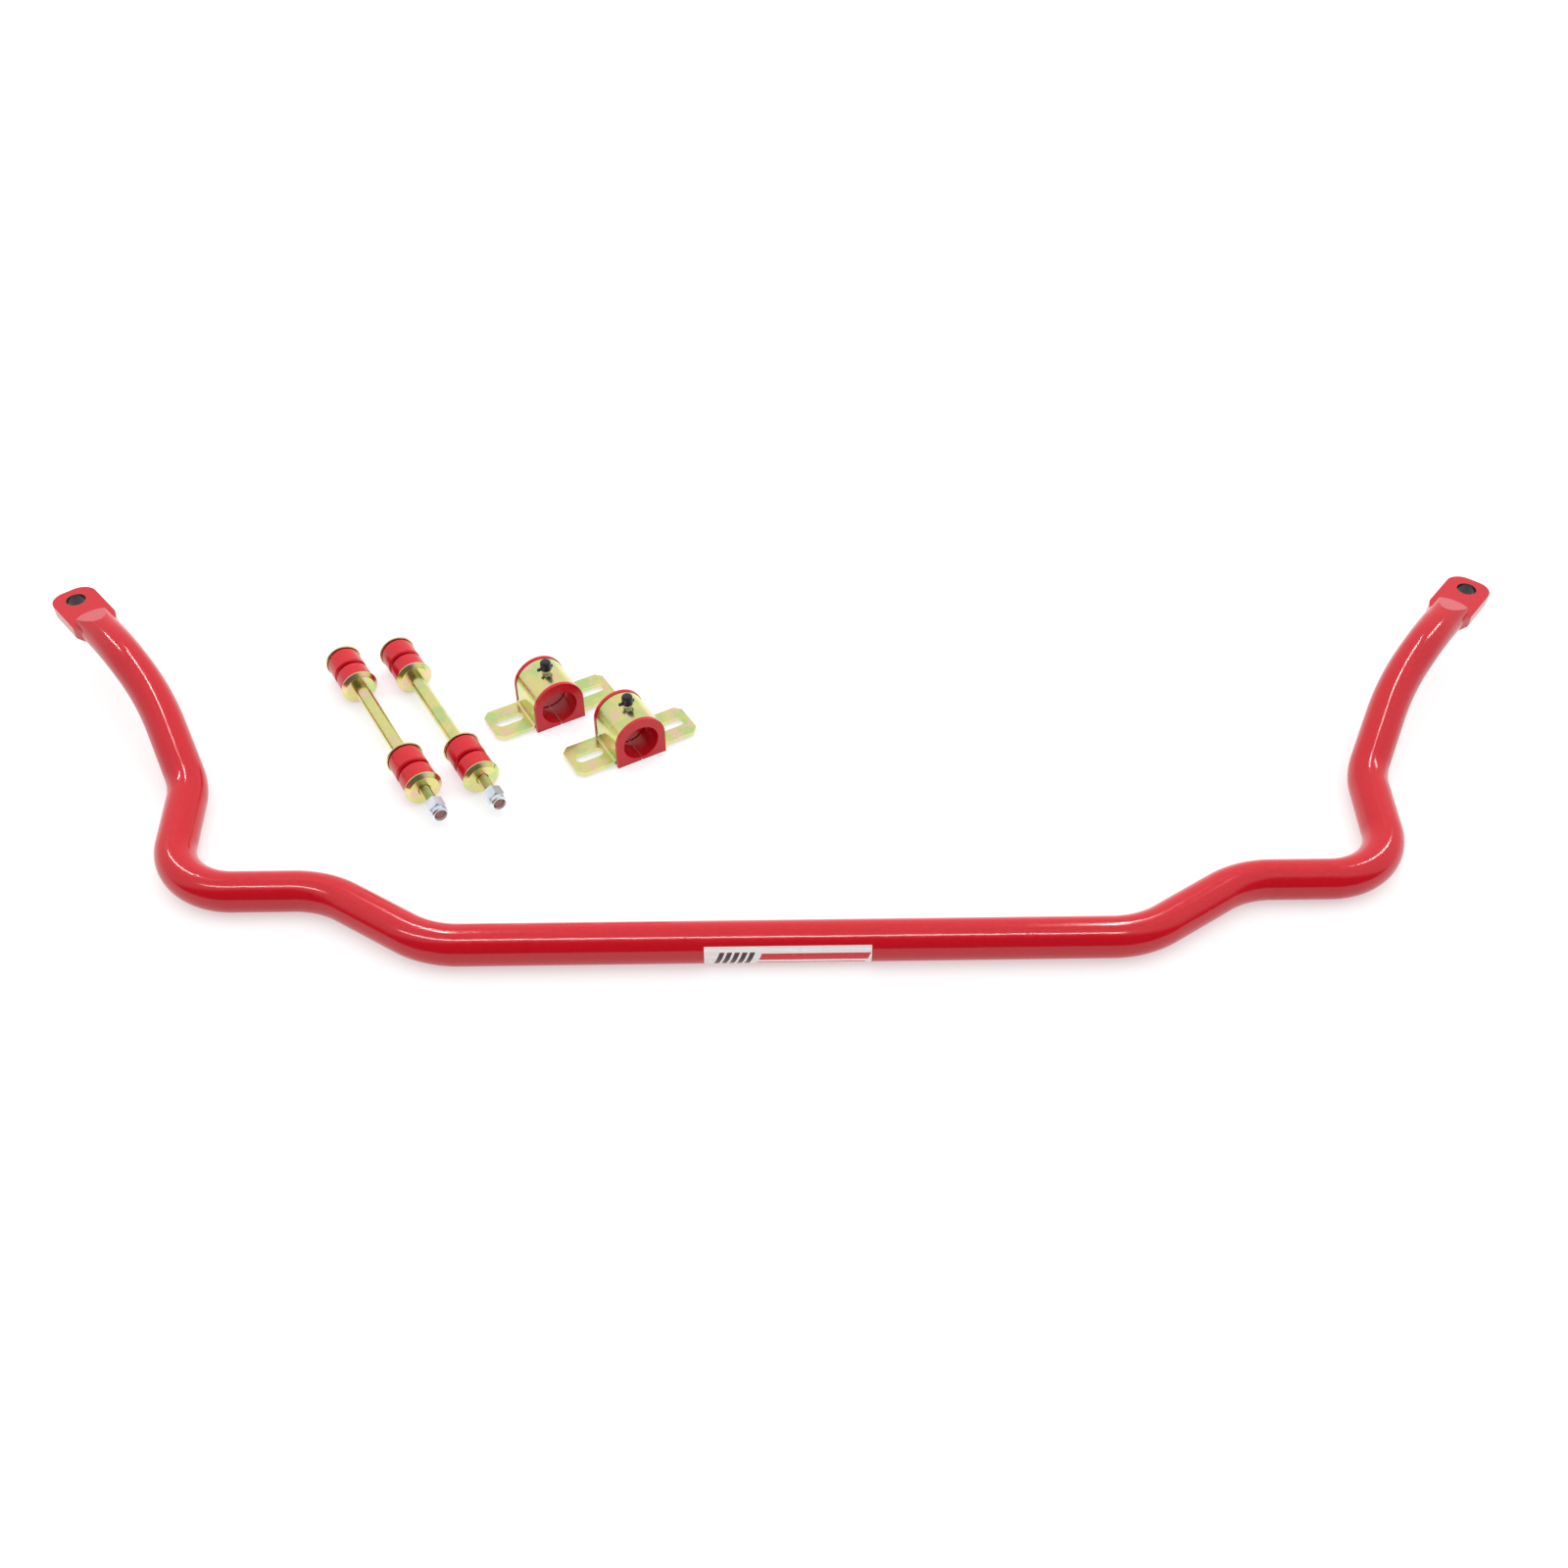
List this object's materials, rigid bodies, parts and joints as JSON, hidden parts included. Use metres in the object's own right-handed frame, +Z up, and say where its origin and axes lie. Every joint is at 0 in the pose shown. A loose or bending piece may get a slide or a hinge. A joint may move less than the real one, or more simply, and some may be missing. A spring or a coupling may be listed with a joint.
{
  "type": "sway bar",
  "caption": "Bent anti-roll bar with flattened eye ends, laid out with its bolted end links and its flanged bushings under slotted, greasable strap brackets.",
  "frame": {"origin": "centre of the whole outline, on the floor that the bar lies on", "axes": "+X along the centre run towards the viewer's right, +Y from the centre run towards the eyes, +Z up"},
  "size_m": [1.2688, 0.3951, 0.0759],
  "materials": {
    "red_powder_coat": "glossy red powder coat",
    "red_polyurethane": "smooth satin red polyurethane",
    "yellow_zinc": "bright iridescent yellow zinc plate",
    "clear_zinc": "pale blue-white zinc plate",
    "nylon": "off-white nylon",
    "black_cap": "soft black plastic",
    "label": "white printed film with plain stripes"
  },
  "bodies": {
    "bar": {"sway_bar": "red_powder_coat", "bar_label": "label"},
    "link_a_bolt": {"link_a_bolt": "yellow_zinc"},
    "link_a_head_washer": {"link_a_head_washer": "yellow_zinc"},
    "link_a_head_bushing_outer": {"link_a_head_bushing_outer": "red_polyurethane"},
    "link_a_head_bushing_inner": {"link_a_head_bushing_inner": "red_polyurethane"},
    "link_a_sleeve_washer_head_end": {"link_a_sleeve_washer_head_end": "yellow_zinc"},
    "link_a_sleeve": {"link_a_sleeve": "yellow_zinc"},
    "link_a_sleeve_washer_nut_end": {"link_a_sleeve_washer_nut_end": "yellow_zinc"},
    "link_a_nut_bushing_inner": {"link_a_nut_bushing_inner": "red_polyurethane"},
    "link_a_nut_bushing_outer": {"link_a_nut_bushing_outer": "red_polyurethane"},
    "link_a_nut_washer": {"link_a_nut_washer": "yellow_zinc"},
    "link_a_nut_insert": {"link_a_nut_insert": "nylon"},
    "link_a_lock_nut": {"link_a_lock_nut": "clear_zinc"},
    "link_b_bolt": {"link_b_bolt": "yellow_zinc"},
    "link_b_head_washer": {"link_b_head_washer": "yellow_zinc"},
    "link_b_head_bushing_outer": {"link_b_head_bushing_outer": "red_polyurethane"},
    "link_b_head_bushing_inner": {"link_b_head_bushing_inner": "red_polyurethane"},
    "link_b_sleeve_washer_head_end": {"link_b_sleeve_washer_head_end": "yellow_zinc"},
    "link_b_sleeve": {"link_b_sleeve": "yellow_zinc"},
    "link_b_sleeve_washer_nut_end": {"link_b_sleeve_washer_nut_end": "yellow_zinc"},
    "link_b_nut_bushing_inner": {"link_b_nut_bushing_inner": "red_polyurethane"},
    "link_b_nut_bushing_outer": {"link_b_nut_bushing_outer": "red_polyurethane"},
    "link_b_nut_washer": {"link_b_nut_washer": "yellow_zinc"},
    "link_b_nut_insert": {"link_b_nut_insert": "nylon"},
    "link_b_lock_nut": {"link_b_lock_nut": "clear_zinc"},
    "bracket_a_bushing": {"bracket_a_bushing": "red_polyurethane"},
    "bracket_a_strap": {"bracket_a_strap": "yellow_zinc", "bracket_a_grease_fitting": "clear_zinc", "bracket_a_check_spring": "clear_zinc"},
    "bracket_a_check_ball": {"bracket_a_check_ball": "clear_zinc"},
    "bracket_a_fitting_cap": {"bracket_a_fitting_cap": "black_cap"},
    "bracket_b_bushing": {"bracket_b_bushing": "red_polyurethane"},
    "bracket_b_strap": {"bracket_b_strap": "yellow_zinc", "bracket_b_grease_fitting": "clear_zinc", "bracket_b_check_spring": "clear_zinc"},
    "bracket_b_check_ball": {"bracket_b_check_ball": "clear_zinc"},
    "bracket_b_fitting_cap": {"bracket_b_fitting_cap": "black_cap"}
  },
  "joints": [
    {"name": "link_a_lift", "type": "slide", "parent": "bar", "child": "link_a_bolt", "axis": [0, 0, 1], "range_m": [0, 0.25]},
    {"name": "link_a_head_washer_spin", "type": "hinge", "parent": "link_a_bolt", "child": "link_a_head_washer", "pos_m": [-0.388, 0.15416, 0.01588], "axis": [0.497, -0.8678, 0], "continuous": true},
    {"name": "link_a_head_bushing_outer_spin", "type": "hinge", "parent": "link_a_bolt", "child": "link_a_head_bushing_outer", "pos_m": [-0.388, 0.15416, 0.01588], "axis": [0.497, -0.8678, 0], "continuous": true},
    {"name": "link_a_head_bushing_inner_spin", "type": "hinge", "parent": "link_a_bolt", "child": "link_a_head_bushing_inner", "pos_m": [-0.388, 0.15416, 0.01588], "axis": [0.497, -0.8678, 0], "continuous": true},
    {"name": "link_a_sleeve_washer_head_end_spin", "type": "hinge", "parent": "link_a_bolt", "child": "link_a_sleeve_washer_head_end", "pos_m": [-0.388, 0.15416, 0.01588], "axis": [0.497, -0.8678, 0], "continuous": true},
    {"name": "link_a_sleeve_spin", "type": "hinge", "parent": "link_a_bolt", "child": "link_a_sleeve", "pos_m": [-0.388, 0.15416, 0.01588], "axis": [0.497, -0.8678, 0], "continuous": true},
    {"name": "link_a_sleeve_washer_nut_end_spin", "type": "hinge", "parent": "link_a_bolt", "child": "link_a_sleeve_washer_nut_end", "pos_m": [-0.388, 0.15416, 0.01588], "axis": [0.497, -0.8678, 0], "continuous": true},
    {"name": "link_a_nut_bushing_inner_spin", "type": "hinge", "parent": "link_a_bolt", "child": "link_a_nut_bushing_inner", "pos_m": [-0.388, 0.15416, 0.01588], "axis": [0.497, -0.8678, 0], "continuous": true},
    {"name": "link_a_nut_bushing_outer_spin", "type": "hinge", "parent": "link_a_bolt", "child": "link_a_nut_bushing_outer", "pos_m": [-0.388, 0.15416, 0.01588], "axis": [0.497, -0.8678, 0], "continuous": true},
    {"name": "link_a_nut_washer_spin", "type": "hinge", "parent": "link_a_bolt", "child": "link_a_nut_washer", "pos_m": [-0.388, 0.15416, 0.01588], "axis": [0.497, -0.8678, 0], "continuous": true},
    {"name": "link_a_nut_travel", "type": "slide", "parent": "link_a_bolt", "child": "link_a_nut_insert", "axis": [0.497, -0.8678, 0], "range_m": [-0.018, 0.016]},
    {"name": "link_a_nut_turn", "type": "hinge", "parent": "link_a_nut_insert", "child": "link_a_lock_nut", "pos_m": [-0.388, 0.15416, 0.01588], "axis": [0.497, -0.8678, 0], "range_deg": [-4085, 3630]},
    {"name": "link_b_lift", "type": "slide", "parent": "bar", "child": "link_b_bolt", "axis": [0, 0, 1], "range_m": [0, 0.25]},
    {"name": "link_b_head_washer_spin", "type": "hinge", "parent": "link_b_bolt", "child": "link_b_head_washer", "pos_m": [-0.3425, 0.16626, 0.01588], "axis": [0.497, -0.8678, 0], "continuous": true},
    {"name": "link_b_head_bushing_outer_spin", "type": "hinge", "parent": "link_b_bolt", "child": "link_b_head_bushing_outer", "pos_m": [-0.3425, 0.16626, 0.01588], "axis": [0.497, -0.8678, 0], "continuous": true},
    {"name": "link_b_head_bushing_inner_spin", "type": "hinge", "parent": "link_b_bolt", "child": "link_b_head_bushing_inner", "pos_m": [-0.3425, 0.16626, 0.01588], "axis": [0.497, -0.8678, 0], "continuous": true},
    {"name": "link_b_sleeve_washer_head_end_spin", "type": "hinge", "parent": "link_b_bolt", "child": "link_b_sleeve_washer_head_end", "pos_m": [-0.3425, 0.16626, 0.01588], "axis": [0.497, -0.8678, 0], "continuous": true},
    {"name": "link_b_sleeve_spin", "type": "hinge", "parent": "link_b_bolt", "child": "link_b_sleeve", "pos_m": [-0.3425, 0.16626, 0.01588], "axis": [0.497, -0.8678, 0], "continuous": true},
    {"name": "link_b_sleeve_washer_nut_end_spin", "type": "hinge", "parent": "link_b_bolt", "child": "link_b_sleeve_washer_nut_end", "pos_m": [-0.3425, 0.16626, 0.01588], "axis": [0.497, -0.8678, 0], "continuous": true},
    {"name": "link_b_nut_bushing_inner_spin", "type": "hinge", "parent": "link_b_bolt", "child": "link_b_nut_bushing_inner", "pos_m": [-0.3425, 0.16626, 0.01588], "axis": [0.497, -0.8678, 0], "continuous": true},
    {"name": "link_b_nut_bushing_outer_spin", "type": "hinge", "parent": "link_b_bolt", "child": "link_b_nut_bushing_outer", "pos_m": [-0.3425, 0.16626, 0.01588], "axis": [0.497, -0.8678, 0], "continuous": true},
    {"name": "link_b_nut_washer_spin", "type": "hinge", "parent": "link_b_bolt", "child": "link_b_nut_washer", "pos_m": [-0.3425, 0.16626, 0.01588], "axis": [0.497, -0.8678, 0], "continuous": true},
    {"name": "link_b_nut_travel", "type": "slide", "parent": "link_b_bolt", "child": "link_b_nut_insert", "axis": [0.497, -0.8678, 0], "range_m": [-0.018, 0.016]},
    {"name": "link_b_nut_turn", "type": "hinge", "parent": "link_b_nut_insert", "child": "link_b_lock_nut", "pos_m": [-0.3425, 0.16626, 0.01588], "axis": [0.497, -0.8678, 0], "range_deg": [-4085, 3630]},
    {"name": "bracket_a_lift", "type": "slide", "parent": "bar", "child": "bracket_a_bushing", "axis": [0, 0, 1], "range_m": [0, 0.25]},
    {"name": "bracket_a_strap_lift", "type": "slide", "parent": "bracket_a_bushing", "child": "bracket_a_strap", "axis": [0, 0, 1], "range_m": [0, 0.06]},
    {"name": "bracket_a_ball_press", "type": "slide", "parent": "bracket_a_strap", "child": "bracket_a_check_ball", "axis": [0, 0, -1], "range_m": [0, 0.0012], "stiffness_N_per_m": 300, "springref_m": -0.0005, "deforming": ["bracket_a_check_spring"]},
    {"name": "bracket_a_cap_pull", "type": "slide", "parent": "bracket_a_strap", "child": "bracket_a_fitting_cap", "axis": [0, 0, 1], "range_m": [0, 0.02]},
    {"name": "bracket_b_lift", "type": "slide", "parent": "bar", "child": "bracket_b_bushing", "axis": [0, 0, 1], "range_m": [0, 0.25]},
    {"name": "bracket_b_strap_lift", "type": "slide", "parent": "bracket_b_bushing", "child": "bracket_b_strap", "axis": [0, 0, 1], "range_m": [0, 0.06]},
    {"name": "bracket_b_ball_press", "type": "slide", "parent": "bracket_b_strap", "child": "bracket_b_check_ball", "axis": [0, 0, -1], "range_m": [0, 0.0012], "stiffness_N_per_m": 300, "springref_m": -0.0005, "deforming": ["bracket_b_check_spring"]},
    {"name": "bracket_b_cap_pull", "type": "slide", "parent": "bracket_b_strap", "child": "bracket_b_fitting_cap", "axis": [0, 0, 1], "range_m": [0, 0.02]}
  ],
  "couplings": [
    {"joint": "link_a_nut_turn", "follows": "link_a_nut_travel", "rad_per_m": 3957.9},
    {"joint": "link_b_nut_turn", "follows": "link_b_nut_travel", "rad_per_m": 3957.9}
  ]
}
